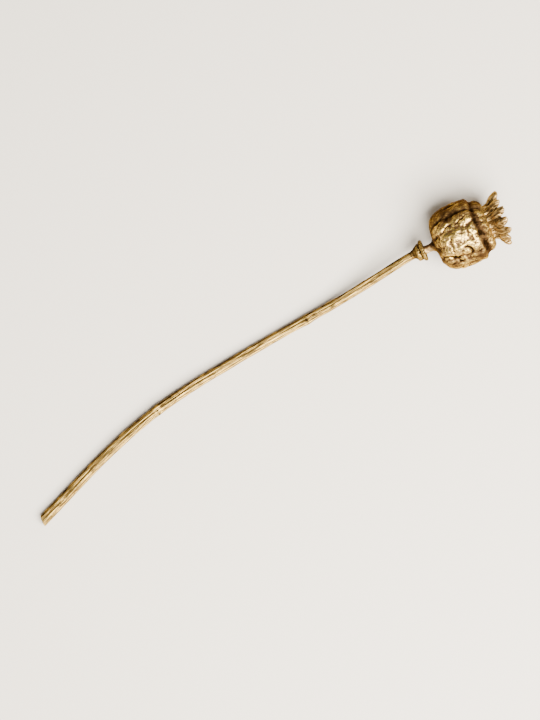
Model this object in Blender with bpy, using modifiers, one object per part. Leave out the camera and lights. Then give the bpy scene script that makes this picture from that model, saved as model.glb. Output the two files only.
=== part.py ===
"""A dried poppy seed head on its cut stem, lying on a flat surface.

Metres, +Z up. The origin is the middle of the flat spot that the capsule lies on, and +X runs along the stem
to the crown. Each shape is turned about +Z, given its relief by a formula, and then laid in its place: the
capsule and the crown along the head's axis, and the stem along its own bent line.
"""

import math

import bpy
from mathutils import Euler, Matrix, Vector, noise

MM = 0.001

# The head lies on its side. Its axis lifts a little from the surface, and turns a little from the stem.
HEAD_LIFT = math.radians(10.0)
HEAD_TURN = math.radians(-10.5)
PRESSED_FLAT = 0.45 * MM
JOINT_GAP = 0.3 * MM

# The capsule and its neck. Outlines are shares: of the radius, and of the length from the base up.
CAPSULE_RADIUS = 14.8 * MM
CAPSULE_LENGTH = 26.0 * MM
NECK_LENGTH = 4.9 * MM
NECK_RADIUS = 1.75 * MM
SEAT_OUTLINE = ((0.0, 1.0), (0.34, 1.0), (0.57, 0.997))
WALL_OUTLINE = (
    (0.63, 0.985),
    (0.73, 0.95),
    (0.86, 0.885),
    (0.955, 0.79),
    (1.0, 0.66),
    (1.0, 0.49),
    (0.97, 0.33),
    (0.91, 0.20),
    (0.80, 0.105),
    (0.61, 0.038),
    (0.37, 0.010),
    (0.20, -0.006),
)
NECK_OUTLINE = ((1.12, 0.75), (1.0, 0.50), (1.03, 0.22), (1.2, 0.0))
STEPS_PER_CARPEL = 5

# The relief of the dried wall. Seams run in line with the gaps between the crown's rays.
CARPELS = 13
SEED = 11
SEAM_DEPTH = 0.7 * MM
UNEVEN_OVER = 6.0 * MM
SHOULDER_GROOVE_AT = 0.855
SHOULDER_GROOVE_WIDTH = 1.6 * MM
SHOULDER_GROOVE_DEPTH = 1.8 * MM
WRINKLE_HEIGHT = 0.28 * MM
WRINKLE_SIZE = 5.0 * MM
SMOOTH_SPOT_RADIUS = 7.5 * MM

# Hollows where the wall sank: degrees round it, share of its length, depth and reach. 180 degrees is on top.
DENTS = (
    (30.0, 0.72, 0.9 * MM, 5.0 * MM),
    (62.0, 0.40, 1.0 * MM, 5.5 * MM),
    (102.0, 0.66, 0.4 * MM, 5.0 * MM),
    (143.0, 0.44, 0.9 * MM, 5.0 * MM),
    (172.0, 0.64, 0.5 * MM, 4.0 * MM),
    (207.0, 0.72, 0.5 * MM, 3.5 * MM),
    (228.0, 0.26, 1.0 * MM, 3.2 * MM),
    (232.0, 0.47, 0.8 * MM, 3.0 * MM),
    (270.0, 0.62, 0.5 * MM, 5.0 * MM),
    (312.0, 0.33, 1.0 * MM, 5.5 * MM),
    (330.0, 0.72, 0.9 * MM, 5.0 * MM),
)

# The crown: a disc with one ray above each carpel, parted at the rim. Outlines are shares, as above.
# It leans, and CROWN_LEAN is how far it rises for each length along +X and +Y.
CROWN_RADIUS = 11.8 * MM
CROWN_HEIGHT = 7.4 * MM
CROWN_LEAN = Vector((-0.13, 0.07))
RAY_OUTLINE = (
    (0.69, 0.0),
    (0.67, 0.12),
    (0.71, 0.28),
    (0.82, 0.45),
    (0.93, 0.64),
    (1.0, 0.84),
    (0.98, 1.0),
    (0.86, 0.95),
    (0.72, 0.77),
    (0.46, 0.64),
    (0.20, 0.60),
    (0.06, 0.57),
)
CLEFT_OUTLINE = (
    (0.64, 0.0),
    (0.60, 0.12),
    (0.62, 0.27),
    (0.69, 0.43),
    (0.77, 0.56),
    (0.82, 0.68),
    (0.79, 0.72),
    (0.70, 0.65),
    (0.57, 0.54),
    (0.39, 0.47),
    (0.20, 0.48),
    (0.06, 0.54),
)
STEPS_PER_RAY = 8
RAYS_FREE_FROM = 0.67
RAY_HALF_WIDTH = 0.55
RAY_NARROWING = 0.20
RAY_ARCH = 1.1 * MM

# Each ray's share of the full length, its lift in mm and its sideways lean in degrees.
RAY_HABITS = (
    (0.87, -0.3, 1.0),
    (0.79, -0.8, -1.0),
    (0.82, -0.2, 1.5),
    (0.90, -0.4, 1.0),
    (1.0, -0.2, -2.5),
    (0.86, -0.7, 2.0),
    (0.80, -0.2, -1.0),
    (0.85, -0.1, -3.5),
    (0.80, 0.0, 0.0),
    (0.88, -0.4, 3.0),
    (1.1, -0.9, -2.5),
    (0.95, -0.6, -2.5),
    (0.92, -0.8, -2.0),
)

# The stem, and the collar at its top that the petals fell from.
STEM_END_RADIUS = 2.35 * MM
STEM_TOP_RADIUS = 1.85 * MM
STEM_SIDES = 14
STEM_RING_SPACING = 6.5 * MM
STEM_FLUTES = 7
FLUTE_DEPTH = 0.06
CUT_SLANT = 0.4
CUT_REACH = 5.0 * MM
LEAF_SCARS = (0.34, 0.71)
SCAR_HEIGHT = 0.35 * MM
SCAR_LENGTH = 2.2 * MM
SCAR_RINGS = (-1.6, -0.8, 0.0, 0.8, 1.6)
COLLAR_RADIUS = 4.9 * MM
COLLAR_LENGTH = 5.0 * MM
STRAIGHT_AT_COLLAR = 6.5 * MM
COLLAR_OUTLINE = (
    (0.78, 1.0),
    (0.95, 0.97),
    (1.0, 0.86),
    (0.95, 0.72),
    (0.76, 0.60),
    (0.79, 0.47),
    (0.78, 0.33),
    (0.60, 0.14),
    (0.43, -0.08),
)

# The middle of the stem, from the cut end to the last place before the collar.
LINE_STEPS = 24
STEM_ROUTE = (
    (-228.0 * MM, -4.2 * MM, 2.2 * MM),
    (-211.0 * MM, -0.3 * MM, 2.4 * MM),
    (-194.0 * MM, 3.6 * MM, 2.7 * MM),
    (-176.0 * MM, 6.9 * MM, 3.1 * MM),
    (-158.0 * MM, 8.9 * MM, 3.3 * MM),
    (-138.0 * MM, 9.4 * MM, 3.2 * MM),
    (-116.0 * MM, 8.6 * MM, 2.8 * MM),
    (-96.0 * MM, 7.5 * MM, 2.6 * MM),
    (-78.0 * MM, 6.2 * MM, 3.3 * MM),
    (-60.0 * MM, 5.0 * MM, 4.9 * MM),
    (-46.0 * MM, 4.5 * MM, 6.8 * MM),
    (-34.0 * MM, 4.3 * MM, 8.6 * MM),
)


def smooth(share):
    """Rises from 0 to 1 with level ends."""
    share = min(1.0, max(0.0, share))
    return share * share * (3.0 - 2.0 * share)


def curve_through(points, steps):
    """A smooth line through the points, with this many steps from one to the next."""
    ends = [points[0], *points, points[-1]]
    line = []
    for before, start, end, after in zip(ends, ends[1:], ends[2:], ends[3:]):
        for step in range(steps):
            t = step / steps
            bend = 2.0 * before - 5.0 * start + 4.0 * end - after
            twist = 3.0 * (start - end) + after - before
            line.append(start + 0.5 * t * ((end - before) + t * (bend + t * twist)))
    return [*line, points[-1]]


def scaled(outline, radius, height, start=0.0):
    """An outline of shares as (radius, height) points."""
    return [Vector((out * radius, start + up * height)) for out, up in outline]


def turned(name, profile, steps):
    """A closed mesh turned about +Z from (radius, height) points that run from the top down."""
    line = bpy.data.meshes.new(name)
    edges = [(i, i + 1) for i in range(len(profile) - 1)]
    line.from_pydata([(out, 0.0, up) for out, up in profile], edges, [])
    shape = bpy.data.objects.new(name, line)
    bpy.context.scene.collection.objects.link(shape)
    screw = shape.modifiers.new("turn", "SCREW")
    screw.steps = screw.render_steps = steps
    screw.use_merge_vertices = True
    screw.merge_threshold = 0.00001
    mesh = bpy.data.meshes.new_from_object(shape.evaluated_get(bpy.context.evaluated_depsgraph_get()))
    bpy.data.objects.remove(shape)
    bpy.data.meshes.remove(line)
    return mesh


def press_flat(mesh):
    """What would reach below the surface is pressed flat against it."""
    for vertex in mesh.vertices:
        vertex.co.z = max(vertex.co.z, 0.0)


# The head's place.


def head_rotation():
    """Lays the turned shapes' +Z along the head's axis, with their +X down."""
    return Euler((0.0, math.pi / 2 - HEAD_LIFT, HEAD_TURN)).to_matrix()


def resting_point():
    """The lowest point of the capsule's outline once the head lies down, as it is turned."""
    wall = curve_through(scaled(WALL_OUTLINE, CAPSULE_RADIUS, CAPSULE_LENGTH, NECK_LENGTH), 8)
    out, up = min(wall, key=lambda point: point.y * math.sin(HEAD_LIFT) - point.x * math.cos(HEAD_LIFT))
    return Vector((out, 0.0, up))


def head_foot():
    """The middle of the collar's upper face, which sets the resting point just below the origin."""
    return Vector((0.0, 0.0, -PRESSED_FLAT)) - head_rotation() @ resting_point()


def lay_along_head(mesh, start):
    """Moves a shape turned about +Z to this distance along the head's axis."""
    turn = head_rotation()
    foot = head_foot() + turn @ Vector((0.0, 0.0, start))
    mesh.transform(Matrix.Translation(foot) @ turn.to_4x4())


# The capsule.


def capsule_profile():
    """The whole outline, from the crown's seat down to the foot of the neck."""
    seat = scaled(SEAT_OUTLINE, CAPSULE_RADIUS, CAPSULE_LENGTH, NECK_LENGTH)
    wall = curve_through(scaled(WALL_OUTLINE, CAPSULE_RADIUS, CAPSULE_LENGTH, NECK_LENGTH), 2)
    neck = scaled(NECK_OUTLINE, NECK_RADIUS, NECK_LENGTH - JOINT_GAP, JOINT_GAP)
    return [*seat, *wall, *neck, Vector((0.0, JOINT_GAP))]


def dents():
    """The middle of each hollow in the wall, its depth and its reach."""
    found = []
    for degrees, share, depth, reach in DENTS:
        around = math.radians(degrees)
        up = NECK_LENGTH + share * CAPSULE_LENGTH
        middle = Vector((CAPSULE_RADIUS * math.cos(around), CAPSULE_RADIUS * math.sin(around), up))
        found.append((middle, depth, reach))
    return found


def wrinkles(point):
    """A net of folds, drawn out a little along the axis: about 1 on a fold and -1 between them."""
    place = Vector((point.x, point.y, 0.7 * point.z)) / WRINKLE_SIZE
    bend = noise.noise_vector(0.6 * place + Vector((3.1, 7.7, 1.3)))
    fold = 1.0 - 3.0 * abs(noise.noise(place + 0.5 * bend))
    finer = 1.0 - 3.0 * abs(noise.noise(2.1 * place - 0.4 * bend))
    return 0.7 * fold + 0.3 * finer


def wall_relief(point, hollows, resting):
    """How far the dried wall stands out from its turned outline."""
    share = (point.z - NECK_LENGTH) / CAPSULE_LENGTH
    around = math.atan2(point.y, point.x)
    gap = abs(math.cos(CARPELS * around / 2.0))
    unevenness = 0.75 + 0.6 * noise.noise(point / UNEVEN_OVER)
    relief = -SEAM_DEPTH * unevenness * gap**5
    relief += WRINKLE_HEIGHT * wrinkles(point)
    groove = (share - SHOULDER_GROOVE_AT) * CAPSULE_LENGTH / SHOULDER_GROOVE_WIDTH
    relief -= SHOULDER_GROOVE_DEPTH * unevenness * math.exp(-(groove**2))
    for middle, depth, reach in hollows:
        relief -= depth * math.exp(-(((point - middle).length / reach) ** 2))
    edges = smooth(share / 0.08) * smooth((1.0 - share) / 0.05)
    rest = smooth((point - resting).length / SMOOTH_SPOT_RADIUS - 0.4)
    return relief * edges * rest


def make_capsule():
    """The seed case with its neck: the wall is drawn in by seams, folds and hollows as it dried."""
    noise.seed_set(SEED)
    mesh = turned("capsule", capsule_profile(), CARPELS * STEPS_PER_CARPEL)
    hollows = dents()
    resting = resting_point()
    moves = [vertex.normal * wall_relief(vertex.co, hollows, resting) for vertex in mesh.vertices]
    for vertex, move in zip(mesh.vertices, moves):
        vertex.co += move
    lay_along_head(mesh, 0.0)
    press_flat(mesh)
    return mesh


# The crown.


def crown_point(around, ray, cleft):
    """The place at an angle round the crown, between a ray's outline and that of the gap beside it."""
    pitch = math.tau / CARPELS
    index, offset = divmod(around / pitch + 0.5, 1.0)
    offset -= 0.5
    length, lift, lean = RAY_HABITS[int(index) % CARPELS]
    side = 1.0 - (1.0 - 2.0 * abs(offset)) ** 1.7
    on_ray = 1.0 - smooth((side - RAY_HALF_WIDTH) / (1.0 - RAY_HALF_WIDTH))
    beyond = max(0.0, ray.x - RAYS_FREE_FROM * CROWN_RADIUS)
    free = beyond / ((1.0 - RAYS_FREE_FROM) * CROWN_RADIUS)
    arch = RAY_ARCH * free * (2.0 * offset) ** 2
    tip = Vector((ray.x - (1.0 - length) * beyond - arch, ray.y + lift * MM * free))
    out, up = cleft.lerp(tip, on_ray)
    across = math.copysign(side, offset) * (1.0 - RAY_NARROWING * free * on_ray)
    angle = int(index) * pitch + across * pitch / 2 + math.radians(lean) * free * on_ray
    place = Vector((out * math.cos(angle), out * math.sin(angle), up))
    place.z += CROWN_LEAN.dot(place.xy) * smooth(up / CROWN_HEIGHT)
    return place


def make_crown():
    """The stigma disc, turned as a drum of equal rings, drawn out into its rays and leant over."""
    rays = scaled(RAY_OUTLINE, CROWN_RADIUS, CROWN_HEIGHT)
    clefts = scaled(CLEFT_OUTLINE, CROWN_RADIUS, CROWN_HEIGHT)
    rings = len(rays)
    side = [(1.0, ring) for ring in reversed(range(rings))]
    mesh = turned("crown", [(0.0, rings), *side, (0.0, -1.0)], CARPELS * STEPS_PER_RAY)
    for vertex in mesh.vertices:
        ring = round(vertex.co.z)
        if ring == rings:
            vertex.co = (0.0, 0.0, rays[-1].y)
        elif ring < 0:
            vertex.co = (0.0, 0.0, 0.0)
        else:
            around = math.atan2(vertex.co.y, vertex.co.x) % math.tau
            vertex.co = crown_point(around, rays[ring], clefts[ring])
    lay_along_head(mesh, NECK_LENGTH + CAPSULE_LENGTH + JOINT_GAP)
    return mesh


# The stem.


def stem_line():
    """The stem's middle from the cut end to the collar's upper face, as close points and their distances."""
    foot = head_foot()
    back = head_rotation() @ Vector((0.0, 0.0, -1.0))
    route = [Vector(place) for place in STEM_ROUTE]
    route += [foot + share * STRAIGHT_AT_COLLAR * back for share in (1.0, 0.4, 0.0)]
    line = curve_through(route, LINE_STEPS)
    distances = [0.0]
    for start, end in zip(line, line[1:]):
        distances.append(distances[-1] + (end - start).length)
    return line, distances


def stem_radius(share):
    """The radius at a share of the length."""
    return STEM_END_RADIUS + (STEM_TOP_RADIUS - STEM_END_RADIUS) * share


def stem_profile(length):
    """The outline from the collar's upper face down to the cut end."""
    collar = scaled(COLLAR_OUTLINE, COLLAR_RADIUS, COLLAR_LENGTH, length - COLLAR_LENGTH)
    stalk = length - STRAIGHT_AT_COLLAR
    rings = int(stalk / STEM_RING_SPACING)
    places = [stalk * i / rings for i in range(rings + 1)]
    places += [share * length + step * SCAR_LENGTH for share in LEAF_SCARS for step in SCAR_RINGS]
    sides = [(stem_radius(place / length), place) for place in sorted(places, reverse=True)]
    return [(0.0, length), *collar, *sides, (0.0, 0.0)]


def stem_relief(around, distance, length):
    """The stem's flutes, which fade out below the collar, and the scars that its leaves left."""
    fade = smooth((length - COLLAR_LENGTH - distance) / (2.0 * COLLAR_LENGTH))
    radius = stem_radius(distance / length)
    relief = radius * FLUTE_DEPTH * fade * math.cos(STEM_FLUTES * around)
    for number, share in enumerate(LEAF_SCARS):
        away = (distance - share * length) / SCAR_LENGTH
        facing = max(0.0, math.cos(around - 2.4 * number - 0.6)) ** 2
        relief += SCAR_HEIGHT * (0.3 + 0.7 * facing) * math.exp(-(away**2))
    return relief


def bend_to_line(mesh, line, distances):
    """Bends a shape turned about +Z, so that its axis follows the line from the shape's foot up."""
    nearest = 0
    for vertex in sorted(mesh.vertices, key=lambda vertex: vertex.co.z):
        x, y, distance = vertex.co
        while nearest < len(distances) - 2 and distances[nearest + 1] < distance:
            nearest += 1
        start, end = line[nearest], line[nearest + 1]
        ahead = (end - start).normalized()
        left = Vector((0.0, 0.0, 1.0)).cross(ahead).normalized()
        above = ahead.cross(left)
        vertex.co = start + ahead * (distance - distances[nearest]) + left * x + above * y


def make_stem():
    """The cut stem with the collar at its top, turned straight, fluted, cut aslant and bent to its line."""
    line, distances = stem_line()
    length = distances[-1]
    mesh = turned("stem", stem_profile(length), STEM_SIDES)
    for vertex in mesh.vertices:
        x, y, distance = vertex.co
        radius = math.hypot(x, y)
        if radius > 0.0:
            grown = 1.0 + stem_relief(math.atan2(y, x), distance, length) / radius
            vertex.co.xy = (x * grown, y * grown)
        vertex.co.z += CUT_SLANT * vertex.co.x * (1.0 - smooth(distance / CUT_REACH))
    bend_to_line(mesh, line, distances)
    press_flat(mesh)
    return mesh


# Putting it together.


def gold_paint(name, colour, roughness):
    """Metallic gold spray paint, which dries duller where the plant is rough."""
    material = bpy.data.materials.new(name)
    material.use_nodes = True
    shader = material.node_tree.nodes["Principled BSDF"]
    shader.inputs["Base Color"].default_value = (*colour, 1.0)
    shader.inputs["Metallic"].default_value = 0.9
    shader.inputs["Roughness"].default_value = roughness
    return material


def add_node(name, mesh, material, collection):
    mesh.name = name
    mesh.materials.clear()
    mesh.materials.append(material)
    mesh.shade_smooth()
    mesh.set_sharp_from_angle(angle=math.radians(50.0))
    collection.objects.link(bpy.data.objects.new(name, mesh))


def build():
    for item in list(bpy.data.objects):
        bpy.data.objects.remove(item)
    collection = bpy.data.collections.new("poppy seed head")
    bpy.context.scene.collection.children.link(collection)
    add_node("stem", make_stem(), gold_paint("stem_gold", (0.58, 0.42, 0.20), 0.42), collection)
    add_node("capsule", make_capsule(), gold_paint("capsule_gold", (0.66, 0.47, 0.20), 0.36), collection)
    add_node("crown", make_crown(), gold_paint("crown_gold", (0.48, 0.31, 0.12), 0.50), collection)


build()
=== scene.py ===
"""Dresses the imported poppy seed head: dried, sprayed with gold and laid on its side on a pale table.

Metres, +Z up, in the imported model's own frame. Each piece takes the place of one solid and keeps its form: it
is turned from the same outline, with the same seams, folds and rays, on a finer mesh.
"""

import math

import bpy
import numpy as np
from mathutils import Euler, Matrix, Vector, noise


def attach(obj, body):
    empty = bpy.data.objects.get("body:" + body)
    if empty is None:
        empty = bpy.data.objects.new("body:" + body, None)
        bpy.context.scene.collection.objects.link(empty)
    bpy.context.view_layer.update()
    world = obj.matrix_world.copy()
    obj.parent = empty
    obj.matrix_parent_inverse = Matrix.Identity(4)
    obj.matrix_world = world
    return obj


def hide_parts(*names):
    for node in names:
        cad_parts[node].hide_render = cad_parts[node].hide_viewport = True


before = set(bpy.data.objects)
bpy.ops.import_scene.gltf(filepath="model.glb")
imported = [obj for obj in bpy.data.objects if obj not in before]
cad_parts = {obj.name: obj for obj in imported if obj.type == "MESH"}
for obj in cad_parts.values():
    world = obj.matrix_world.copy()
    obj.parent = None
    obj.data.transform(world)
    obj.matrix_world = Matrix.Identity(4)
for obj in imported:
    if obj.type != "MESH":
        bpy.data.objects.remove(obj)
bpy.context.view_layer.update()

# The capsule: the dried seed case on its short neck, grown in one piece. Its wall shrank between thirteen
# seams into folds, hollows and crinkles like crumpled foil. It was sprayed with gold. The gold has a painted
# highlight on what stands out and is brown in the folds, partly bare paint and partly painted shade, with
# painted shade on the side away from the light and underneath.

MM = 0.001
HEAD_LIFT = math.radians(10.0)
HEAD_TURN = math.radians(-10.5)
PRESSED_FLAT = 0.45 * MM

CAPSULE_RADIUS = 14.8 * MM
CAPSULE_LENGTH = 26.0 * MM
NECK_LENGTH = 4.9 * MM
NECK_RADIUS = 1.75 * MM
SUNK_TOGETHER = 0.3 * MM
SEAT_OUTLINE = ((0.0, 1.0), (0.34, 1.0), (0.57, 0.997))
WALL_OUTLINE = (
    (0.63, 0.985),
    (0.73, 0.95),
    (0.86, 0.885),
    (0.955, 0.79),
    (1.0, 0.66),
    (1.0, 0.49),
    (0.97, 0.33),
    (0.91, 0.20),
    (0.80, 0.105),
    (0.61, 0.038),
    (0.37, 0.010),
    (0.20, -0.006),
)
NECK_OUTLINE = ((1.12, 0.75), (1.0, 0.50), (1.03, 0.22), (1.2, 0.0))
CAPSULE_STEPS = 400
WALL_SPACING = 0.22 * MM

CARPELS = 13
SEED = 11
SEAM_DEPTH = 0.7 * MM
UNEVEN_OVER = 6.0 * MM
SHOULDER_GROOVE_AT = 0.855
SHOULDER_GROOVE_WIDTH = 1.6 * MM
SHOULDER_GROOVE_DEPTH = 1.8 * MM

# Hollows where the wall sank: degrees round it, share of its length, depth and reach. 180 degrees is on top.
DENTS = (
    (30.0, 0.72, 0.9 * MM, 5.0 * MM),
    (62.0, 0.40, 1.0 * MM, 5.5 * MM),
    (102.0, 0.66, 0.4 * MM, 5.0 * MM),
    (143.0, 0.44, 0.9 * MM, 5.0 * MM),
    (172.0, 0.64, 0.5 * MM, 4.0 * MM),
    (207.0, 0.72, 0.5 * MM, 3.5 * MM),
    (228.0, 0.26, 1.0 * MM, 3.2 * MM),
    (232.0, 0.47, 0.8 * MM, 3.0 * MM),
    (270.0, 0.62, 0.5 * MM, 5.0 * MM),
    (312.0, 0.33, 1.0 * MM, 5.5 * MM),
    (330.0, 0.72, 0.9 * MM, 5.0 * MM),
)
WRINKLE_HEIGHT = 0.28 * MM
WRINKLE_SIZE = 5.0 * MM
SMOOTH_SPOT_RADIUS = 7.5 * MM

# Sizes and heights of the crinkles, from the widest to the finest. The shares draw the relief out along the
# head: the smaller, the longer.
CRINKLES = ((2.6 * MM, 0.14 * MM), (1.2 * MM, 0.10 * MM), (0.6 * MM, 0.04 * MM))
CRINKLES_DRAWN_OUT = 0.72
CRACK_SIZE = 2.2 * MM
CRACK_DEPTH = 0.10 * MM
CRACKS_DRAWN_OUT = 0.6
PLEAT_SIZE = 2.2 * MM
PLEAT_HEIGHT = 0.16 * MM
PLEATS_DRAWN_OUT = 0.25
PUCKER_HEIGHT = 0.30 * MM
PUCKERS_FROM = 0.87
PUCKERS_PER_CARPEL = 2.0

# Sharp folds on the upper side: places in mm across and along the head, then depth and half width. Each line
# wanders a little, fades in and out, and has a low lip on either side.
FOLD_WANDER = 0.9
FOLD_LIP = 0.25
FOLDS = (
    (((-6.8, 7.0), (-8.9, 10.2), (-11.6, 14.5)), 1.0 * MM, 0.9 * MM),
    (((3.6, 9.5), (5.6, 13.0), (5.0, 17.0), (7.0, 21.5)), 0.5 * MM, 0.9 * MM),
    (((-5.0, 8.5), (-1.5, 7.6), (2.0, 8.6)), 0.3 * MM, 0.6 * MM),
    (((-6.2, 13.0), (-2.8, 12.2), (-0.6, 13.4)), 0.3 * MM, 0.6 * MM),
    (((-4.6, 22.0), (-1.0, 21.2), (2.6, 22.4)), 0.3 * MM, 0.6 * MM),
)

# How far the gold gives way to brown: painted shade on the neck's and the capsule's sides away from the light,
# underneath and in the groove, and a darker brown at the base and on the crown's seat. 0 is full gold, 1 is
# full brown, and more than 1 is brown over a wider band. The edges of the shaded sides are ragged.
NECK_SHADE = 0.9
SHADE_AWAY_FROM_LIGHT = 0.86
SHADE_BELOW = 0.75
DARKER_BASE = 0.9
GROOVE_SHADE = 1.4
GROOVE_SHADE_WIDTH = 2.2 * MM
DARKER_SEAT = 0.6
RAGGED_BY = 3.5 * MM
RAGGED_SIZE = 4.5 * MM

# Darker brown patches: the middle of each, its reach and how dark it is.
BROWN_PATCHES = (
    (Vector((-7.5, -11.5, 23.0)) * MM, 6.5 * MM, 1.0),
    (Vector((-7.5, -11.0, 11.0)) * MM, 4.5 * MM, 0.90),
    (Vector((-11.0, 1.0, 29.5)) * MM, 3.5 * MM, 0.65),
    (Vector((-13.5, 2.5, 13.5)) * MM, 2.0 * MM, 0.45),
    (Vector((-12.0, -6.0, 21.5)) * MM, 2.0 * MM, 0.50),
    (Vector((3.0, -13.5, 16.0)) * MM, 5.0 * MM, 0.55),
)
BLISTER = Vector((-11.6 * MM, -8.2 * MM, 17.6 * MM))
BLISTER_RADIUS = 1.3 * MM
BLISTER_RIM_WIDTH = 0.45 * MM
BLISTER_HEIGHT = 0.35 * MM
BLISTER_CREASE_DEPTH = 1.6 * BLISTER_HEIGHT
BLISTER_CREASE_AT = 2.7 * MM
BLISTER_CREASE_WIDTH = 0.6 * MM
NECK_RIDGES = 22
NECK_RIDGE_HEIGHT = 0.07 * MM


def smooth(share):
    """Rises from 0 to 1 with level ends."""
    share = min(1.0, max(0.0, share))
    return share * share * (3.0 - 2.0 * share)


def curve_through(points, steps):
    """A smooth line through the points, with this many steps from one to the next."""
    ends = [points[0], *points, points[-1]]
    line = []
    for before, start, end, after in zip(ends, ends[1:], ends[2:], ends[3:]):
        for step in range(steps):
            t = step / steps
            bend = 2.0 * before - 5.0 * start + 4.0 * end - after
            twist = 3.0 * (start - end) + after - before
            line.append(start + 0.5 * t * ((end - before) + t * (bend + t * twist)))
    return [*line, points[-1]]


def evenly(points, spacing):
    """The same line, with its points about this far apart."""
    line = [points[0]]
    for start, end in zip(points, points[1:]):
        pieces = max(1, round((end - start).length / spacing))
        line += [start.lerp(end, i / pieces) for i in range(1, pieces + 1)]
    return line


def scaled(outline, radius, height, start=0.0):
    """An outline of shares as (radius, height) points."""
    return [Vector((out * radius, start + up * height)) for out, up in outline]


def turned(name, profile, steps):
    """A closed mesh turned about +Z from (radius, height) points that run from the top down."""
    line = bpy.data.meshes.new(name)
    edges = [(i, i + 1) for i in range(len(profile) - 1)]
    line.from_pydata([(out, 0.0, up) for out, up in profile], edges, [])
    shape = bpy.data.objects.new(name, line)
    bpy.context.scene.collection.objects.link(shape)
    screw = shape.modifiers.new("turn", "SCREW")
    screw.steps = screw.render_steps = steps
    screw.use_merge_vertices = True
    screw.merge_threshold = 0.000002
    mesh = bpy.data.meshes.new_from_object(shape.evaluated_get(bpy.context.evaluated_depsgraph_get()))
    bpy.data.objects.remove(shape)
    bpy.data.meshes.remove(line)
    return mesh


def press_flat(mesh):
    """What would reach below the table's top is pressed flat against it."""
    for vertex in mesh.vertices:
        vertex.co.z = max(vertex.co.z, 0.0)


def head_rotation():
    """Lays the turned shapes' +Z along the head's axis, with their +X down."""
    return Euler((0.0, math.pi / 2 - HEAD_LIFT, HEAD_TURN)).to_matrix()


def resting_point():
    """The lowest point of the capsule's outline once the head lies down, as it is turned."""
    wall = curve_through(scaled(WALL_OUTLINE, CAPSULE_RADIUS, CAPSULE_LENGTH, NECK_LENGTH), 8)
    out, up = min(wall, key=lambda point: point.y * math.sin(HEAD_LIFT) - point.x * math.cos(HEAD_LIFT))
    return Vector((out, 0.0, up))


def head_foot():
    """The middle of the collar's upper face, which sets the resting point just below the origin."""
    return Vector((0.0, 0.0, -PRESSED_FLAT)) - head_rotation() @ resting_point()


def lay_along_head(mesh, start):
    """Moves a shape turned about +Z to this distance along the head's axis."""
    turn = head_rotation()
    foot = head_foot() + turn @ Vector((0.0, 0.0, start))
    mesh.transform(Matrix.Translation(foot) @ turn.to_4x4())


def capsule_profile():
    """The whole outline, from the crown's seat down to the foot of the neck, which sinks into the collar."""
    seat = scaled(SEAT_OUTLINE, CAPSULE_RADIUS, CAPSULE_LENGTH, NECK_LENGTH)
    wall = scaled(WALL_OUTLINE, CAPSULE_RADIUS, CAPSULE_LENGTH, NECK_LENGTH)
    neck = scaled(NECK_OUTLINE, NECK_RADIUS, NECK_LENGTH + SUNK_TOGETHER, -SUNK_TOGETHER)
    side = evenly(curve_through([*wall, *neck], 8), WALL_SPACING)
    return [*seat, *side, Vector((0.0, -SUNK_TOGETHER))]


def dents():
    """The middle of each hollow in the wall, its depth and its reach."""
    found = []
    for degrees, share, depth, reach in DENTS:
        around = math.radians(degrees)
        up = NECK_LENGTH + share * CAPSULE_LENGTH
        middle = Vector((CAPSULE_RADIUS * math.cos(around), CAPSULE_RADIUS * math.sin(around), up))
        found.append((middle, depth, reach))
    return found


def wrinkles(point):
    """A net of folds, drawn out a little along the axis: about 1 on a fold and -1 between them."""
    place = Vector((point.x, point.y, 0.7 * point.z)) / WRINKLE_SIZE
    bend = noise.noise_vector(0.6 * place + Vector((3.1, 7.7, 1.3)))
    fold = 1.0 - 3.0 * abs(noise.noise(place + 0.5 * bend))
    finer = 1.0 - 3.0 * abs(noise.noise(2.1 * place - 0.4 * bend))
    return 0.7 * fold + 0.3 * finer


def wall_relief(point, hollows):
    """How far the dried wall stands out from its turned outline: its seams, folds, groove and hollows."""
    share = (point.z - NECK_LENGTH) / CAPSULE_LENGTH
    around = math.atan2(point.y, point.x)
    gap = abs(math.cos(CARPELS * around / 2.0))
    unevenness = 0.75 + 0.6 * noise.noise(point / UNEVEN_OVER)
    relief = -SEAM_DEPTH * unevenness * gap**5
    relief += WRINKLE_HEIGHT * wrinkles(point)
    groove = (share - SHOULDER_GROOVE_AT) * CAPSULE_LENGTH / SHOULDER_GROOVE_WIDTH
    relief -= SHOULDER_GROOVE_DEPTH * unevenness * math.exp(-(groove**2))
    for middle, depth, reach in hollows:
        relief -= depth * math.exp(-(((point - middle).length / reach) ** 2))
    return relief


def crinkles(point):
    """Fine crinkles, round on top and sharp in their valleys, with long pleats among them in places."""
    relief = 0.0
    for size, height in CRINKLES:
        place = Vector((point.x, point.y, CRINKLES_DRAWN_OUT * point.z)) / size
        bend = noise.noise_vector(0.5 * place + Vector((5.2, 1.9, 8.4)))
        relief += height * (2.4 * abs(noise.noise(place + 0.6 * bend)) - 0.5)
    place = Vector((point.x, point.y, CRACKS_DRAWN_OUT * point.z)) / CRACK_SIZE
    near, next_near = noise.voronoi(place + 0.4 * noise.noise_vector(1.5 * place))[0][:2]
    relief -= CRACK_DEPTH * (1.0 - smooth(4.0 * (next_near - near)))
    place = Vector((point.x, point.y, PLEATS_DRAWN_OUT * point.z)) / PLEAT_SIZE
    pleated = smooth(0.5 + 1.6 * noise.noise(point / UNEVEN_OVER + Vector((9.0, 2.0, 4.0))))
    relief += PLEAT_HEIGHT * pleated * (2.4 * abs(noise.noise(place)) - 0.5)
    return relief


def puckers(point):
    """Short gathers on the narrow band between the shoulder's groove and the crown."""
    share = (point.z - NECK_LENGTH) / CAPSULE_LENGTH
    band = smooth((share - PUCKERS_FROM) / 0.05)
    around = math.atan2(point.y, point.x) + 0.06 * noise.noise(point / (2.0 * MM))
    return PUCKER_HEIGHT * band * math.cos(PUCKERS_PER_CARPEL * CARPELS * around)


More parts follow.
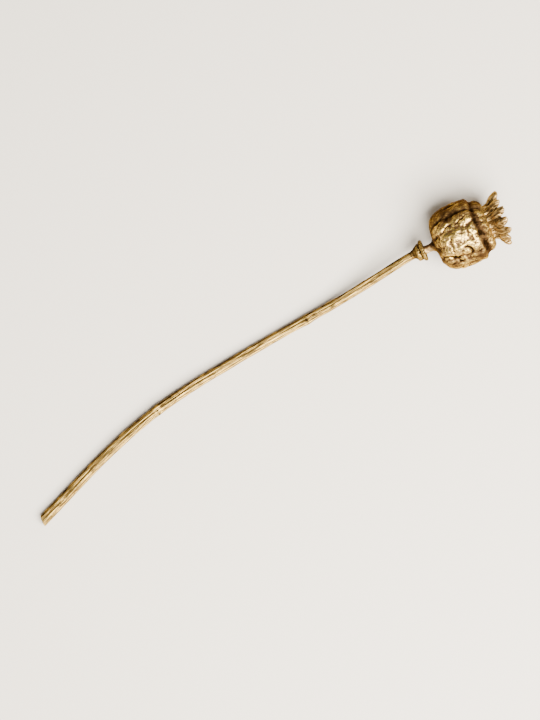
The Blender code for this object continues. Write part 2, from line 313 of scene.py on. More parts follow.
def distance_to(place, start, end):
    """How far a place lies from the straight line between two others."""
    along = end - start
    share = min(1.0, max(0.0, (place - start).dot(along) / along.length_squared))
    return (place - start - share * along).length


def folds(point):
    """Sharp folds in the wall, each drawn in along a bent line."""
    if point.x > 0.0:
        return 0.0
    here = Vector((point.y, point.z)) / MM
    here += FOLD_WANDER * Vector(noise.noise_vector(point / (2.0 * MM))[:2])
    fading = 0.9 + 1.1 * noise.noise(point / (1.7 * MM))
    relief = 0.0
    for places, depth, half_width in FOLDS:
        line = [Vector(place) for place in places]
        away = min(distance_to(here, start, end) for start, end in zip(line, line[1:])) * MM
        relief -= depth * math.exp(-((away / half_width) ** 2))
        relief += FOLD_LIP * depth * math.exp(-((away / half_width - 2.0) ** 2))
    return fading * relief


def blister_crease(point):
    """The curved crease that hugs the blister, towards the crown: 1 in its middle and 0 away from it."""
    offset = point - BLISTER
    away = (offset.length - BLISTER_CREASE_AT) / BLISTER_CREASE_WIDTH
    return math.exp(-(away**2)) * smooth(0.35 + (offset.z + 0.4 * offset.y) / (3.0 * MM))


def blister(point):
    """A ring-shaped swelling on the wall, with a curved crease along one side."""
    away = ((point - BLISTER).length - BLISTER_RADIUS) / BLISTER_RIM_WIDTH
    return BLISTER_HEIGHT * math.exp(-(away**2)) - BLISTER_CREASE_DEPTH * blister_crease(point)


def neck_ridges(point):
    """Fine lengthwise ridges on the neck."""
    around = math.atan2(point.y, point.x) + 0.1 * noise.noise(point / (1.2 * MM))
    return NECK_RIDGE_HEIGHT * math.cos(NECK_RIDGES * around)


def capsule_browning_and_shade(point):
    """How far the gold gives way to brown: painted shade on the side away from the light, underneath, in the
    groove and on the neck, a darker base and crown's seat, and the brown patches.
    """
    share = (point.z - NECK_LENGTH) / CAPSULE_LENGTH
    if share < 0.0:
        # Painted shade on the neck's side away from the light.
        return NECK_SHADE * smooth(0.4 + 0.9 * point.y / NECK_RADIUS)
    ragged = RAGGED_BY * noise.noise(point / RAGGED_SIZE)
    # Painted shade on the side away from the light.
    away = SHADE_AWAY_FROM_LIGHT * smooth((point.y - 5.0 * MM + ragged) / (3.0 * MM)) * smooth(share / 0.1)
    # Painted shade on the underside, near the table.
    shade_below = SHADE_BELOW * smooth((point.x + 7.0 * MM + ragged) / (8.0 * MM))
    base = DARKER_BASE - DARKER_BASE * smooth((share - 0.03) / 0.18)
    # Painted shade in the shoulder's groove, over a wider band than the groove itself.
    from_groove = (share - SHOULDER_GROOVE_AT + 0.01) * CAPSULE_LENGTH / GROOVE_SHADE_WIDTH
    groove = GROOVE_SHADE * math.exp(-(from_groove**2))
    seat = DARKER_SEAT * smooth((share - 0.93) / 0.04)
    patches = []
    for middle, reach, bare in BROWN_PATCHES:
        patches.append(bare * math.exp(-(((point - middle).length / reach) ** 2)))
    return max(away, shade_below, base, groove, seat, *patches)


def sunken(mesh, rounds):
    """How far each vertex lies below its surroundings, which widen with the rounds, in metres."""
    count = len(mesh.vertices)
    places = np.empty(count * 3)
    normals = np.empty(count * 3)
    ends = np.empty(len(mesh.edges) * 2, int)
    mesh.vertices.foreach_get("co", places)
    mesh.vertices.foreach_get("normal", normals)
    mesh.edges.foreach_get("vertices", ends)
    places = places.reshape(-1, 3)
    first, second = ends.reshape(-1, 2).T
    starts = np.concatenate((first, second))
    others = np.concatenate((second, first))
    neighbours = np.bincount(starts, minlength=count)[:, None]
    mean = places.copy()
    for _ in range(rounds):
        sums = [np.bincount(starts, mean[others, axis], minlength=count) for axis in range(3)]
        mean = 0.4 * mean + 0.6 * np.stack(sums, axis=1) / neighbours
    return ((mean - places) * normals.reshape(-1, 3)).sum(axis=1)


def add_mask(mesh, name, values):
    """Keeps a number from 0 to 1 at each vertex, for the paint."""
    layer = mesh.attributes.new(name, "FLOAT", "POINT")
    layer.data.foreach_set("value", np.clip(values, 0.0, 1.0).astype(np.float32))


def add_relief_masks(mesh, near, crease, ridge, wide, level, hollow, kept=1.0):
    """Masks of the creases and ridges, over a few rounds, and of the wide hollows, over many."""
    close = sunken(mesh, near)
    add_mask(mesh, "crease", kept * close / crease)
    add_mask(mesh, "ridge", -close / ridge)
    add_mask(mesh, "hollow", kept * (level + sunken(mesh, wide) / hollow))


def make_capsule():
    """The turned outline with all its relief, laid on its side, and the masks for its paint."""
    noise.seed_set(SEED)
    mesh = turned("capsule_wall", capsule_profile(), CAPSULE_STEPS)
    hollows = dents()
    resting = resting_point()
    moves = []
    browning_and_shade = []
    for vertex in mesh.vertices:
        point = vertex.co.copy()
        share = (point.z - NECK_LENGTH) / CAPSULE_LENGTH
        edges = smooth(share / 0.08) * smooth((1.0 - share) / 0.05)
        rest = smooth((point - resting).length / SMOOTH_SPOT_RADIUS - 0.4)
        fine_edges = smooth(share / 0.04) * smooth((1.0 - share) / 0.03)
        on_neck = smooth(point.z / (1.0 * MM)) * smooth(-share / 0.03)
        relief = edges * wall_relief(point, hollows)
        folded = fine_edges * folds(point)
        relief += folded + fine_edges * (crinkles(point) + puckers(point) + blister(point))
        moves.append(vertex.normal * (relief * rest + on_neck * neck_ridges(point)))
        # The folds and the blister's crease are browner too, partly bare paint and partly painted shade.
        browning_and_shade.append(max(capsule_browning_and_shade(point), -1.0 * folded / MM, 0.9 * blister_crease(point)))
    for vertex, move in zip(mesh.vertices, moves):
        vertex.co += move
    mesh.update()
    add_relief_masks(mesh, near=4, crease=0.05 * MM, ridge=0.05 * MM, wide=60, level=0.25, hollow=0.35 * MM)
    add_mask(mesh, "browning_and_shade", browning_and_shade)
    lay_along_head(mesh, 0.0)
    press_flat(mesh)
    return mesh


def add_node(tree, kind, inputs, **settings):
    """A shader node with its settings. Each input is a value, or the socket that feeds it."""
    node = tree.nodes.new("ShaderNode" + kind)
    for name, value in settings.items():
        setattr(node, name, value)
    for name, value in inputs.items():
        if isinstance(value, bpy.types.NodeSocket):
            tree.links.new(value, node.inputs[name])
        else:
            node.inputs[name].default_value = value
    return node


def weighted(tree, *terms):
    """The sum of some sockets, each times its own weight."""
    total = None
    for socket, weight in terms:
        term = add_node(tree, "Math", {0: socket, 1: weight}, operation="MULTIPLY").outputs[0]
        if total is None:
            total = term
        else:
            total = add_node(tree, "Math", {0: total, 1: term}, operation="ADD").outputs[0]
    return total


def spread(tree, value, low, high, to_low=0.0, to_high=1.0):
    """Stretches a value's range from low and high to two others, with soft ends."""
    inputs = {"Value": value, "From Min": low, "From Max": high, "To Min": to_low, "To Max": to_high}
    return add_node(tree, "MapRange", inputs, interpolation_type="SMOOTHSTEP").outputs["Result"]


def blended(tree, share, first, second):
    """A colour between two others."""
    return add_node(tree, "Mix", {0: share, 6: first, 7: second}, data_type="RGBA").outputs[2]


# The darkest brown, for the barest spots and for painted shade in the hollows and on the shaded sides, and how
# far the gold gives way to it. The grain of the paint comes in three sizes, and the ranges are those of the
# weighted masks.
GRIME_AND_SHADE = (0.015, 0.0065, 0.0017, 1.0)
MOTTLE_SIZE = 3.5 * MM
SPECKLE_SIZE = 0.45 * MM
FLAKE_SIZE = 0.16 * MM
GOLD_ENDS = (0.58, 1.1)
BRIGHT_STARTS = (0.15, 1.1)
GRIME_AND_SHADE_STARTS = (1.45, 2.10)


def sprayed_gold():
    """Gold spray paint on a dry plant: a painted highlight on ridges, painted shade in hollows, and brown in
    the creases, partly bare paint and partly painted shade.
    """
    tree = bpy.data.node_groups.new("sprayed gold", "ShaderNodeTree")
    inputs = (
        ("Bright", "NodeSocketColor"),
        ("Deep", "NodeSocketColor"),
        ("Bare", "NodeSocketColor"),
        ("Crease", "NodeSocketFloat"),
        ("Ridge", "NodeSocketFloat"),
        ("Hollow", "NodeSocketFloat"),
        ("Browning_and_shade", "NodeSocketFloat"),
        ("Dullness", "NodeSocketFloat"),
    )
    outputs = (
        ("Color", "NodeSocketColor"),
        ("Roughness", "NodeSocketFloat"),
        ("Metallic", "NodeSocketFloat"),
        ("Height", "NodeSocketFloat"),
    )
    for name, kind in inputs:
        tree.interface.new_socket(name, in_out="INPUT", socket_type=kind)
    for name, kind in outputs:
        tree.interface.new_socket(name, in_out="OUTPUT", socket_type=kind)
    given = tree.nodes.new("NodeGroupInput").outputs
    place = tree.nodes.new("ShaderNodeTexCoord").outputs["Object"]

    def grain(size, detail, roughness=0.55):
        settings = {"Vector": place, "Scale": 1.0 / size, "Detail": detail, "Roughness": roughness}
        return add_node(tree, "TexNoise", settings).outputs["Fac"]

    crease, ridge, hollow, browning_and_shade = (given[name] for name in ("Crease", "Ridge", "Hollow", "Browning_and_shade"))
    mottle = grain(MOTTLE_SIZE, 4.0)
    speckle = grain(SPECKLE_SIZE, 3.0, 0.65)
    flake = grain(FLAKE_SIZE, 2.0)
    # How far the gold gives way to brown: creases, hollows and shaded sides, partly bare paint and partly
    # painted shade, with random mottling.
    worn_and_shaded = weighted(tree, (crease, 0.32), (hollow, 0.38), (browning_and_shade, 0.55), (mottle, 0.8), (speckle, 0.25))
    bare = spread(tree, worn_and_shaded, *GOLD_ENDS)
    # The lit mix is a painted highlight on the ridges and painted shade in the hollows, with the paint's flake.
    lit = weighted(tree, (ridge, 1.0), (flake, 0.6), (hollow, -0.5))
    gold = blended(tree, spread(tree, lit, *BRIGHT_STARTS), given["Deep"], given["Bright"])
    # The darkest brown gathers in painted shade in the hollows and on the shaded sides, and in random mottling.
    grime_and_shade = weighted(tree, (hollow, 0.7), (mottle, 1.5), (browning_and_shade, 0.9))
    brown = blended(tree, spread(tree, grime_and_shade, *GRIME_AND_SHADE_STARTS), given["Bare"], GRIME_AND_SHADE)
    colour = blended(tree, bare, gold, brown)
    duller = spread(tree, bare, 0.2, 1.0, 0.0, 0.38)
    rough = weighted(tree, (given["Dullness"], 1.0), (duller, 1.0), (speckle, 0.12))
    metallic = spread(tree, bare, 0.1, 1.0, 1.0, 0.92)
    height = weighted(tree, (speckle, 1.0), (flake, 0.35))
    result = tree.nodes.new("NodeGroupOutput").inputs
    for name, socket in (("Color", colour), ("Roughness", rough), ("Metallic", metallic), ("Height", height)):
        tree.links.new(socket, result[name])
    return tree


SPRAYED_GOLD = sprayed_gold()


PAINT_SHEEN = 0.2
PAINT_SHEEN_TINT = (0.70, 0.50, 0.22, 1.0)
GRAIN_STRENGTH = 0.6


def gold_paint(name, bright, deep, bare, dullness, grain_height):
    """The sprayed gold in one piece's own colours: bright and deep gold for painted highlight and shade, and a
    brown for bare paint and painted shade.
    """
    material = bpy.data.materials.new(name)
    material.use_nodes = True
    tree = material.node_tree
    shader = tree.nodes["Principled BSDF"]
    shader.inputs["Specular IOR Level"].default_value = PAINT_SHEEN
    shader.inputs["Specular Tint"].default_value = PAINT_SHEEN_TINT
    paint = tree.nodes.new("ShaderNodeGroup")
    paint.node_tree = SPRAYED_GOLD
    for part, colour in (("Bright", bright), ("Deep", deep), ("Bare", bare)):
        paint.inputs[part].default_value = (*colour, 1.0)
    paint.inputs["Dullness"].default_value = dullness
    # Besides bare paint, the crease and hollow masks carry painted shade, the ridge mask a painted highlight,
    # and the last mask painted shade on the sides away from the light.
    for mask in ("crease", "ridge", "hollow", "browning_and_shade"):
        layer = add_node(tree, "Attribute", {}, attribute_name=mask)
        tree.links.new(layer.outputs["Fac"], paint.inputs[mask.capitalize()])
    grain = {"Height": paint.outputs["Height"], "Strength": GRAIN_STRENGTH, "Distance": grain_height}
    bump = add_node(tree, "Bump", grain)
    tree.links.new(paint.outputs["Color"], shader.inputs["Base Color"])
    tree.links.new(paint.outputs["Roughness"], shader.inputs["Roughness"])
    tree.links.new(paint.outputs["Metallic"], shader.inputs["Metallic"])
    tree.links.new(bump.outputs["Normal"], shader.inputs["Normal"])
    return material


def add_piece(name, mesh, material, node):
    """A finished piece that takes the place of its solid."""
    mesh.materials.clear()
    mesh.materials.append(material)
    mesh.shade_smooth()
    piece = bpy.data.objects.new(name, mesh)
    bpy.context.scene.collection.objects.link(piece)
    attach(piece, "root")
    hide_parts(node)


CAPSULE_PAINT = gold_paint(
    "capsule paint",
    bright=(0.92, 0.605, 0.13),
    deep=(0.375, 0.232, 0.088),
    bare=(0.104, 0.0515, 0.0185),
    dullness=0.30,
    grain_height=0.06 * MM,
)
add_piece("capsule_wall", make_capsule(), CAPSULE_PAINT, "capsule")

# The crown: the dried stigma disc, grown onto the capsule's top. Thirteen rays part at its rim and turn up,
# each with a raised line along its upper side, and the wall below them is pleated. It is rough, so the same
# gold lies thinner and duller on it.

CROWN_RADIUS = 11.8 * MM
CROWN_HEIGHT = 7.4 * MM
CROWN_LEAN = Vector((-0.13, 0.07))
RAY_OUTLINE = (
    (0.69, 0.0),
    (0.67, 0.12),
    (0.71, 0.28),
    (0.82, 0.45),
    (0.93, 0.64),
    (1.0, 0.84),
    (0.98, 1.0),
    (0.86, 0.95),
    (0.72, 0.77),
    (0.46, 0.64),
    (0.20, 0.60),
    (0.06, 0.57),
)
CLEFT_OUTLINE = (
    (0.64, 0.0),
    (0.60, 0.12),
    (0.62, 0.27),
    (0.69, 0.43),
    (0.77, 0.56),
    (0.82, 0.68),
    (0.79, 0.72),
    (0.70, 0.65),
    (0.57, 0.54),
    (0.39, 0.47),
    (0.20, 0.48),
    (0.06, 0.54),
)
RINGS_PER_SHARE = 7
STEPS_PER_RAY = 46
RAYS_FREE_FROM = 0.67
RAY_HALF_WIDTH = 0.55
RAY_NARROWING = 0.20
RAY_ARCH = 1.1 * MM

# Each ray's share of the full length, its lift in mm and its sideways lean in degrees.
RAY_HABITS = (
    (0.87, -0.3, 1.0),
    (0.79, -0.8, -1.0),
    (0.82, -0.2, 1.5),
    (0.90, -0.4, 1.0),
    (1.0, -0.2, -2.5),
    (0.86, -0.7, 2.0),
    (0.80, -0.2, -1.0),
    (0.85, -0.1, -3.5),
    (0.80, 0.0, 0.0),
    (0.88, -0.4, 3.0),
    (1.1, -0.9, -2.5),
    (0.95, -0.6, -2.5),
    (0.92, -0.8, -2.0),
)
TIP_RAGGEDNESS = 0.7 * MM
RAY_CURL = 0.5 * MM
RAY_TIPS_AT = 5.5
CROWN_PLEAT_HEIGHT = 0.16 * MM
STIGMA_HEIGHT = 0.45 * MM
STIGMA_HALF_WIDTH = 0.10

# Sizes and heights of the crown's rough skin, how bare its wall and its upper side are, and how much painted
# shade darkens the gaps between its rays.
CROWN_GRAIN = ((1.8 * MM, 0.14 * MM), (0.8 * MM, 0.05 * MM))
BARE_CROWN = 0.25
BARE_CROWN_TOP = 0.05
GAP_SHADE = 0.6


def crown_point(around, ray, cleft):
    """The place at an angle round the crown, between a ray's outline and that of the gap beside it."""
    pitch = math.tau / CARPELS
    index, offset = divmod(around / pitch + 0.5, 1.0)
    offset -= 0.5
    length, lift, lean = RAY_HABITS[int(index) % CARPELS]
    side = 1.0 - (1.0 - 2.0 * abs(offset)) ** 1.7
    on_ray = 1.0 - smooth((side - RAY_HALF_WIDTH) / (1.0 - RAY_HALF_WIDTH))
    beyond = max(0.0, ray.x - RAYS_FREE_FROM * CROWN_RADIUS)
    free = beyond / ((1.0 - RAYS_FREE_FROM) * CROWN_RADIUS)
    ragged = TIP_RAGGEDNESS * free * free * noise.noise(Vector((7.0 * around, 3.0 * index, 0.5)))
    curl = RAY_CURL * free * noise.noise(Vector((2.5 * around, 5.5, 2.0 * index)))
    arch = RAY_ARCH * free * (2.0 * offset) ** 2
    tip = Vector((ray.x - (1.0 - length) * beyond + ragged - arch, ray.y + lift * MM * free + ragged + curl))
    out, up = cleft.lerp(tip, on_ray)
    across = math.copysign(side, offset) * (1.0 - RAY_NARROWING * free * on_ray)
    angle = int(index) * pitch + across * pitch / 2 + math.radians(lean) * free * on_ray
    return Vector((out * math.cos(angle), out * math.sin(angle), up))


def crown_relief(around, point, upper):
    """Pleats on the wall, a raised line along each ray's upper side, and a rough skin over both."""
    pitch = math.tau / CARPELS
    offset = (around / pitch + 0.5) % 1.0 - 0.5
    waver = noise.noise(point / (2.2 * MM))
    uneven = 1.2 * noise.noise(Vector((40.0 * offset, waver, 3.0)))
    pleats = math.cos(3.0 * math.tau * offset + 3.0 * waver) + uneven
    relief = CROWN_PLEAT_HEIGHT * pleats * (1.0 - upper)
    relief += STIGMA_HEIGHT * upper * math.exp(-((offset / STIGMA_HALF_WIDTH) ** 2))
    for size, height in CROWN_GRAIN:
        place = Vector((point.x, point.y, 0.5 * point.z)) / size
        relief += height * (2.4 * abs(noise.noise(place)) - 0.5)
    return relief


def make_crown():
    """The stigma disc, turned as a drum of equal rings, drawn out into its rays, and given its relief."""
    rays = curve_through(scaled(RAY_OUTLINE, CROWN_RADIUS, CROWN_HEIGHT), RINGS_PER_SHARE)
    clefts = curve_through(scaled(CLEFT_OUTLINE, CROWN_RADIUS, CROWN_HEIGHT), RINGS_PER_SHARE)
    rings = len(rays)
    side = [(1.0, ring) for ring in reversed(range(rings))]
    mesh = turned("crown_rays", [(0.0, rings), *side, (0.0, -1.0)], CARPELS * STEPS_PER_RAY)
    tip_ring = RAY_TIPS_AT * RINGS_PER_SHARE
    angles = []
    uppers = []
    for vertex in mesh.vertices:
        ring = round(vertex.co.z)
        around = math.atan2(vertex.co.y, vertex.co.x) % math.tau
        angles.append(around)
        uppers.append(smooth(0.5 + (ring - tip_ring) / RINGS_PER_SHARE))
        if ring == rings:
            vertex.co = (0.0, 0.0, rays[-1].y)
        elif ring < 0:
            vertex.co = (0.0, 0.0, 0.0)
        else:
            vertex.co = crown_point(around, rays[ring], clefts[ring])
    mesh.update()
    moves = []
    for vertex, around, upper in zip(mesh.vertices, angles, uppers):
        inner = smooth(vertex.co.xy.length / (2.5 * MM))
        foot = smooth(vertex.co.z / (0.8 * MM))
        moves.append(vertex.normal * (crown_relief(around, vertex.co, upper) * inner * foot))
    for vertex, move in zip(mesh.vertices, moves):
        vertex.co += move
        vertex.co.z += CROWN_LEAN.dot(vertex.co.xy) * smooth(vertex.co.z / CROWN_HEIGHT)
    mesh.update()
    outer = 1.0 - 0.6 * np.array(uppers)
    add_relief_masks(mesh, 4, 0.04 * MM, 0.06 * MM, 50, 0.35, 0.45 * MM, outer)
    offsets = [abs((around * CARPELS / math.tau + 0.5) % 1.0 - 0.5) for around in angles]
    # Painted shade in the gaps between the rays.
    gaps = [smooth((offset - 0.33) / 0.13) for offset in offsets]
    add_mask(mesh, "browning_and_shade", BARE_CROWN + BARE_CROWN_TOP * np.array(uppers) + GAP_SHADE * np.array(gaps))
    lay_along_head(mesh, NECK_LENGTH + CAPSULE_LENGTH - SUNK_TOGETHER)
    return mesh


CROWN_PAINT = gold_paint(
    "crown paint",
    bright=(0.54, 0.345, 0.12),
    deep=(0.24, 0.14, 0.045),
    bare=(0.055, 0.028, 0.009),
    dullness=0.38,
    grain_height=0.10 * MM,
)
add_piece("crown_rays", make_crown(), CROWN_PAINT, "crown")

# The stem: the dry cut stalk, grown in one piece with the receptacle at its top, the double ring that the
# petals and stamens fell from. It is finely ribbed along its length, scarred where two leaves stood, and cut
# a little aslant. The gold has a painted highlight on its ribs and is brown in the furrows, partly bare paint
# and partly painted shade, with painted shade on the side away from the light.

STEM_END_RADIUS = 2.35 * MM
STEM_TOP_RADIUS = 1.85 * MM
STEM_SIDES = 112
STEM_SPACING = 0.6 * MM
STEM_FLUTES = 7
FLUTE_DEPTH = 0.06
CUT_SLANT = 0.4
CUT_REACH = 5.0 * MM
LEAF_SCARS = (0.34, 0.71)
SCAR_HEIGHT = 0.35 * MM
SCAR_LENGTH = 2.2 * MM
COLLAR_RADIUS = 4.9 * MM
COLLAR_LENGTH = 5.0 * MM
STRAIGHT_AT_COLLAR = 6.5 * MM
COLLAR_OUTLINE = (
    (0.78, 1.0),
    (0.95, 0.97),
    (1.0, 0.86),
    (0.95, 0.72),
    (0.76, 0.60),
    (0.79, 0.47),
    (0.78, 0.33),
    (0.60, 0.14),
    (0.43, -0.08),
)
LINE_STEPS = 24
STEM_ROUTE = (
    (-228.0 * MM, -4.2 * MM, 2.2 * MM),
    (-211.0 * MM, -0.3 * MM, 2.4 * MM),
    (-194.0 * MM, 3.6 * MM, 2.7 * MM),
    (-176.0 * MM, 6.9 * MM, 3.1 * MM),
    (-158.0 * MM, 8.9 * MM, 3.3 * MM),
    (-138.0 * MM, 9.4 * MM, 3.2 * MM),
    (-116.0 * MM, 8.6 * MM, 2.8 * MM),
    (-96.0 * MM, 7.5 * MM, 2.6 * MM),
    (-78.0 * MM, 6.2 * MM, 3.3 * MM),
    (-60.0 * MM, 5.0 * MM, 4.9 * MM),
    (-46.0 * MM, 4.5 * MM, 6.8 * MM),
    (-34.0 * MM, 4.3 * MM, 8.6 * MM),
)
RIB_HEIGHT = 0.13 * MM
RIB_WANDER = 30.0 * MM
COLLAR_UNEVENNESS = 0.5 * MM
PITH_DEPTH = 0.5 * MM

# Shares of the radius and heights in mm: the cut's rounded edge, its woody ring and its sunken pith.
CUT_RIM = (
    (1.0, 0.25),
    (0.97, 0.08),
    (0.90, 0.0),
    (0.80, 0.05),
    (0.68, 0.02),
    (0.58, 0.15),
    (0.45, 0.42),
    (0.2, 0.5),
)

# Streaks that the gold missed: degrees round the stem, where 90 is on top, half width and how bare it is.
BARE_STREAKS = ((100.0, 9.0, 0.65), (38.0, 7.0, 0.4), (150.0, 5.0, 0.35))
STREAK_WANDER = 14.0
STREAK_FADES_OVER = 14.0 * MM
BARE_COLLAR = 0.6
BARE_SCAR = 0.6
BARE_SCAR_WIDTH = 0.6 * MM

# Where the light comes from. Painted shade darkens the side that faces away from it and the underside.
LIT_FROM = Vector((0.12, -0.45, 0.88))
STEM_SHADE = 0.8


def stem_line():
    """The stem's middle from the cut end to the collar's upper face, as close points and their distances."""
    foot = head_foot()
    back = head_rotation() @ Vector((0.0, 0.0, -1.0))
    route = [Vector(place) for place in STEM_ROUTE]
    route += [foot + share * STRAIGHT_AT_COLLAR * back for share in (1.0, 0.4, 0.0)]
    line = curve_through(route, LINE_STEPS)
    distances = [0.0]
    for start, end in zip(line, line[1:]):
        distances.append(distances[-1] + (end - start).length)
    return line, distances


def stem_radius(share):
    """The radius at a share of the length."""
    return STEM_END_RADIUS + (STEM_TOP_RADIUS - STEM_END_RADIUS) * share


def stem_profile(length):
    """The outline from the collar's upper face down to the cut end, which sinks a little at its pith."""
    collar = scaled(COLLAR_OUTLINE, COLLAR_RADIUS, COLLAR_LENGTH, length - COLLAR_LENGTH)
    stalk = length - STRAIGHT_AT_COLLAR
    rings = int(stalk / STEM_SPACING)
    places = [stalk * i / rings for i in reversed(range(1, rings + 1))]
    sides = [Vector((stem_radius(place / length), place)) for place in places]
    rim = [Vector((stem_radius(0.0) * share, lift * MM)) for share, lift in CUT_RIM]
    face = [Vector((share * COLLAR_RADIUS, length)) for share in (0.3, 0.55)]
    curve = curve_through([*collar, sides[0]], 7)
    return [Vector((0.0, length)), *face, *curve, *sides[1:], *rim, Vector((0.0, PITH_DEPTH))]


def stem_relief(around, distance, length):
    """The stem's flutes and fine ribs, the scars that its leaves left, and the collar's uneven rims."""
    fade = smooth((length - COLLAR_LENGTH - distance) / (2.0 * COLLAR_LENGTH))
    relief = stem_radius(distance / length) * FLUTE_DEPTH * fade * math.cos(STEM_FLUTES * around)
    for number, share in enumerate(LEAF_SCARS):
        away = (distance - share * length) / SCAR_LENGTH
        facing = max(0.0, math.cos(around - 2.4 * number - 0.6)) ** 2
        relief += SCAR_HEIGHT * (0.3 + 0.7 * facing) * math.exp(-(away**2))
    below_collar = smooth((length - COLLAR_LENGTH - distance) / COLLAR_LENGTH)
    across = Vector((2.6 * math.cos(around), 2.6 * math.sin(around), distance / RIB_WANDER))
    ribs = abs(noise.noise(2.2 * across)) + 0.6 * abs(noise.noise(4.7 * across + Vector((4.0, 1.0, 7.0))))
    relief += RIB_HEIGHT * below_collar * (2.2 * ribs - 0.8)
    on_collar = smooth((distance - length + 0.75 * COLLAR_LENGTH) / (0.3 * COLLAR_LENGTH))
    place = Vector((across.x, across.y, distance / (2.0 * MM)))
    relief += COLLAR_UNEVENNESS * on_collar * (noise.noise(0.6 * place) + 0.4 * noise.noise(2.2 * place))
    return relief


def bend_to_line(mesh, line, distances):
    """Bends a shape turned about +Z, so that its axis follows the line from the shape's foot up."""
    nearest = 0
    for vertex in sorted(mesh.vertices, key=lambda vertex: vertex.co.z):
        x, y, distance = vertex.co
        while nearest < len(distances) - 2 and distances[nearest + 1] < distance:
            nearest += 1
        start, end = line[nearest], line[nearest + 1]
        ahead = (end - start).normalized()
        left = Vector((0.0, 0.0, 1.0)).cross(ahead).normalized()
        above = ahead.cross(left)
        vertex.co = start + ahead * (distance - distances[nearest]) + left * x + above * y


def streaks(around, distance):
    """How bare the stem is, from the streaks that run along it and fade in and out."""
    wander = STREAK_WANDER * noise.noise(Vector((0.0, 3.0, distance / RIB_WANDER)))
    bare = 0.0
    for degrees, half_width, most in BARE_STREAKS:
        away = math.remainder(math.degrees(around) + wander - degrees, 360.0) / half_width
        fading = smooth(0.7 + 1.2 * noise.noise(Vector((degrees, 0.0, distance / STREAK_FADES_OVER))))
        bare += most * fading * math.exp(-(away**2))
    return bare


def make_stem():
    """The cut stem with the collar at its top, turned straight, ribbed, cut aslant and bent to its line."""
    line, distances = stem_line()
    length = distances[-1]
    mesh = turned("stem_and_collar", stem_profile(length), STEM_SIDES)
    bared = []
    for vertex in mesh.vertices:
        x, y, distance = vertex.co
        radius = math.hypot(x, y)
        on_collar = smooth((distance - length + 1.3 * COLLAR_LENGTH) / (0.5 * COLLAR_LENGTH))
        bared.append(BARE_COLLAR * on_collar)
        for share in LEAF_SCARS:
            bared[-1] += BARE_SCAR * math.exp(-(((distance - share * length) / BARE_SCAR_WIDTH) ** 2))
        if radius > 0.0:
            bared[-1] += (1.0 - on_collar) * streaks(math.atan2(y, x), distance)
            outer = smooth(radius / (1.5 * MM) - 0.5)
            grown = 1.0 + outer * stem_relief(math.atan2(y, x), distance, length) / radius
            vertex.co.xy = (x * grown, y * grown)
        vertex.co.z += CUT_SLANT * vertex.co.x * (1.0 - smooth(distance / CUT_REACH))
    mesh.update()
    add_relief_masks(mesh, near=3, crease=0.018 * MM, ridge=0.018 * MM, wide=25, level=0.35, hollow=0.16 * MM)
    bend_to_line(mesh, line, distances)
    press_flat(mesh)
    mesh.update()
    # Painted shade on the side that faces away from the light and underneath.
    away = [smooth((0.6 - vertex.normal.dot(LIT_FROM)) / 0.7) for vertex in mesh.vertices]
    add_mask(mesh, "browning_and_shade", np.maximum(STEM_SHADE * np.array(away), bared))
    return mesh


STEM_PAINT = gold_paint(
    "stem paint",
    bright=(0.62, 0.40, 0.105),
    deep=(0.31, 0.175, 0.045),
    bare=(0.032, 0.0155, 0.005),
    dullness=0.36,
    grain_height=0.08 * MM,
)
add_piece("stem_and_collar", make_stem(), STEM_PAINT, "stem")

# The table that the head lies on: a plain, matt, off-white top. It only carries the object, and is no piece
# of it. It is made wide, so that its edge stays out of the pictures from above.

FLOOR_SIZE = 9.0
FLOOR_COLOUR = (0.86, 0.77, 0.63, 1.0)
FLOOR_ROUGHNESS = 0.85

bpy.ops.mesh.primitive_plane_add(size=FLOOR_SIZE)
floor = bpy.context.active_object
floor.name = "table_top"
floor_paint = bpy.data.materials.new("matt table top")
floor_paint.use_nodes = True
floor_shader = floor_paint.node_tree.nodes["Principled BSDF"]
floor_shader.inputs["Base Color"].default_value = FLOOR_COLOUR
floor_shader.inputs["Roughness"].default_value = FLOOR_ROUGHNESS
floor.data.materials.append(floor_paint)

# The light: one broad soft source overhead, a little to the lower right of the picture, in a room that is
# darker towards its upper left.

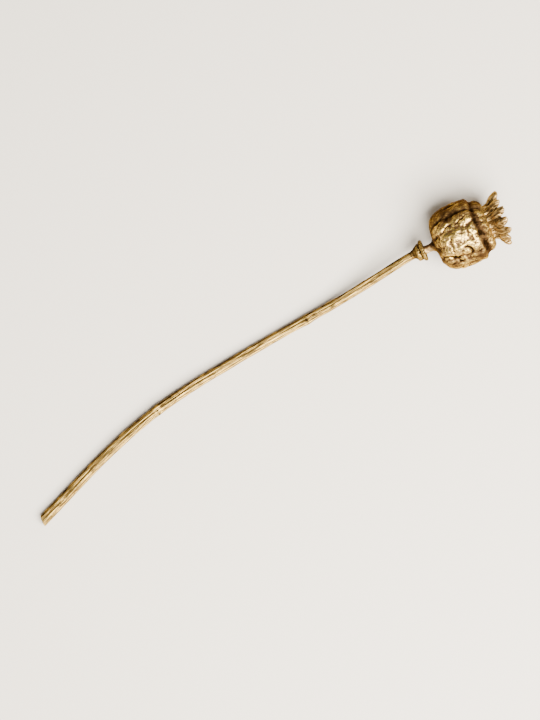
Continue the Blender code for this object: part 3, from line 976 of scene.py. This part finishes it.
VIEW_TURN = math.radians(33.45)
PICTURE_RIGHT = Vector((math.cos(VIEW_TURN), -math.sin(VIEW_TURN), 0.0))
PICTURE_UP = Vector((math.sin(VIEW_TURN), math.cos(VIEW_TURN), 0.0))
UP = Vector((0.0, 0.0, 1.0))
LIGHT_TARGET = Vector((-40.0 * MM, 0.0, 0.0))
ROOM_SHADE = (0.03, 0.029, 0.028, 1.0)
ROOM_LIGHT = (0.5, 0.49, 0.475, 1.0)


def add_softbox(name, right, up, height, size, watts):
    """A square soft light, placed by its offsets in the picture and its height, that faces the object."""
    lamp = bpy.data.lights.new(name, "AREA")
    lamp.shape = "SQUARE"
    lamp.size = size
    lamp.energy = watts
    holder = bpy.data.objects.new(name, lamp)
    holder.location = LIGHT_TARGET + right * PICTURE_RIGHT + up * PICTURE_UP + height * UP
    holder.rotation_euler = (LIGHT_TARGET - holder.location).to_track_quat("-Z", "Y").to_euler()
    bpy.context.scene.collection.objects.link(holder)


add_softbox("key_light", right=0.32, up=-0.38, height=0.85, size=0.8, watts=56.0)

world = bpy.data.worlds.new("soft room light")
world.use_nodes = True
bpy.context.scene.world = world
room = world.node_tree
direction = room.nodes.new("ShaderNodeTexCoord").outputs["Generated"]
towards_light = (0.55 * PICTURE_RIGHT - 0.55 * PICTURE_UP + 0.6 * UP).normalized()
both = {0: direction, 1: towards_light}
facing = add_node(room, "VectorMath", both, operation="DOT_PRODUCT").outputs["Value"]
tone = blended(room, spread(room, facing, -0.9, 0.9), ROOM_SHADE, ROOM_LIGHT)
room.links.new(tone, room.nodes["Background"].inputs["Color"])
room.nodes["Background"].inputs["Strength"].default_value = 1.0

# The camera: straight above, turned so that the head points to the upper right, and framed on the whole
# length of the stem.

FRAME_HEIGHT = 325.0 * MM
LENS = 80.0
SENSOR = 36.0
LOOKS_AT = Vector((-101.0 * MM, 0.0, 10.0 * MM))

camera = bpy.data.objects.new("camera", bpy.data.cameras.new("camera"))
camera.data.lens = LENS
camera.data.sensor_width = SENSOR
camera.location = LOOKS_AT + UP * (FRAME_HEIGHT * LENS / SENSOR)
camera.rotation_euler = (0.0, 0.0, -VIEW_TURN)
bpy.context.scene.collection.objects.link(camera)
bpy.context.scene.camera = camera
